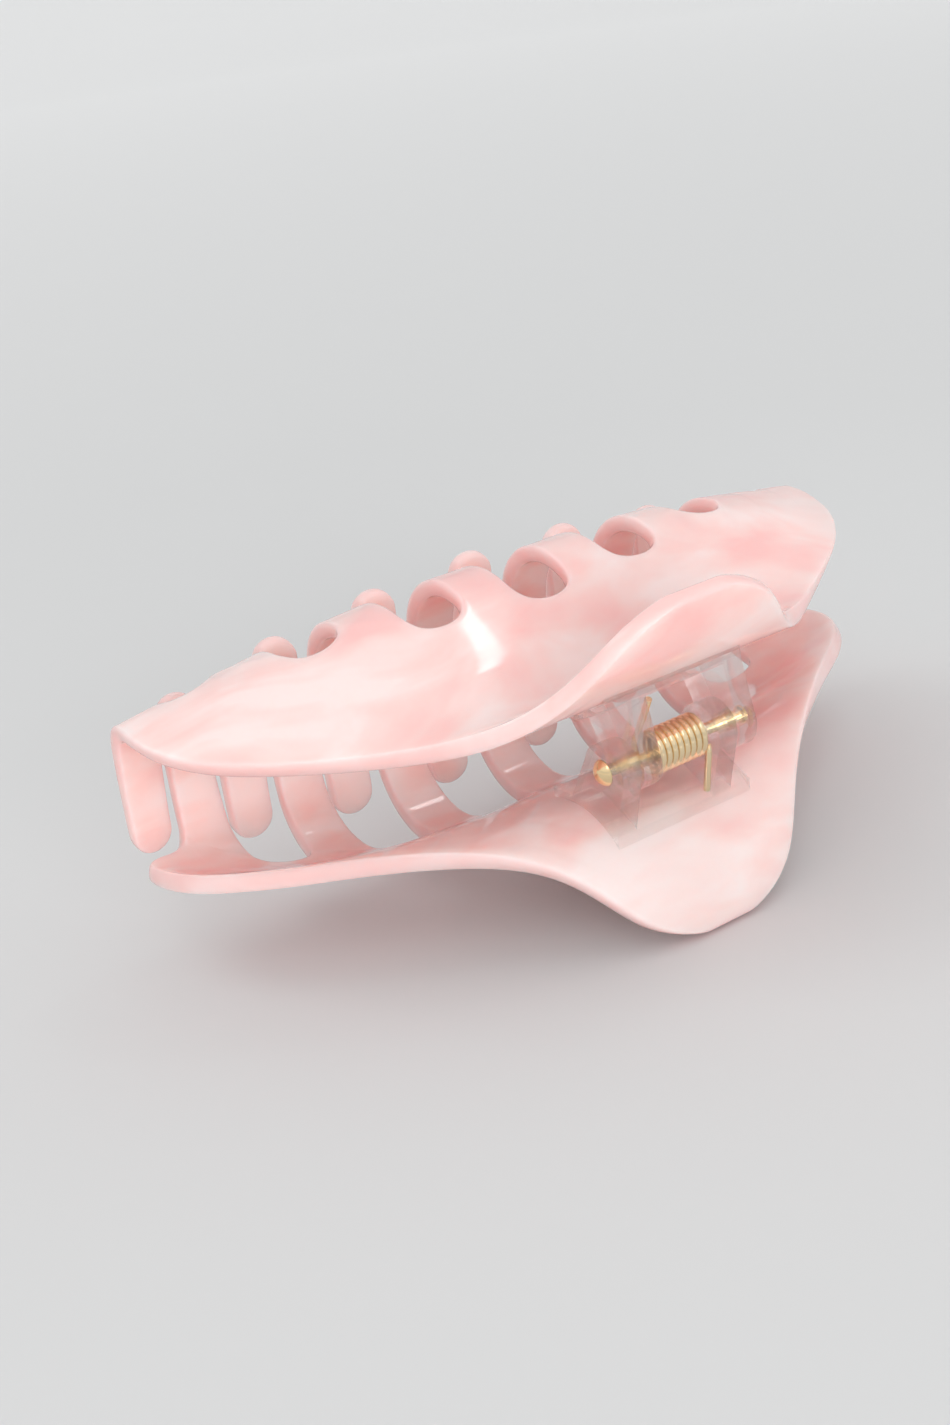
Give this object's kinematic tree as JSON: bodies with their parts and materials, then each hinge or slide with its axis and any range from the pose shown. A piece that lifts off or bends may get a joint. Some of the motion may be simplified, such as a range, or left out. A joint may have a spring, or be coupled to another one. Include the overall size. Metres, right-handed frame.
{
  "type": "claw hair clip",
  "caption": "Large claw hair clip of marbled pink translucent acetate: two curved jaws with interlocking prongs, clear hinge plates, gold rivet and torsion spring.",
  "frame": {"origin": "Centre of the bottom of the closed clip's bounding box", "axes": "+X along the rivet from its domed head to its tail, +Y from the handles to the prongs, +Z from the lower jaw to the upper jaw"},
  "size_m": [0.1258, 0.0582, 0.051],
  "materials": {
    "pink_acetate": "polished translucent acetate, marbled in soft pinks",
    "clear_plastic": "clear moulded plastic, glossy",
    "rivet_gold": "polished pale gold plate",
    "spring_gold": "bright pale gold plated wire"
  },
  "bodies": {
    "lower": {"lower_jaw": "pink_acetate", "lower_hinge_plate": "clear_plastic", "hinge_pin": "rivet_gold", "torsion_spring": "spring_gold"},
    "upper": {"upper_jaw": "pink_acetate", "upper_hinge_plate": "clear_plastic"}
  },
  "joints": [
    {"name": "jaw_hinge", "type": "hinge", "parent": "lower", "child": "upper", "pos_m": [0, -0.01925, 0.02552], "axis": [1, 0, 0], "range_deg": [0, 100], "stiffness_Nm_per_rad": 0.079, "springref_deg": -68.75, "deforming": ["torsion_spring"]}
  ]
}
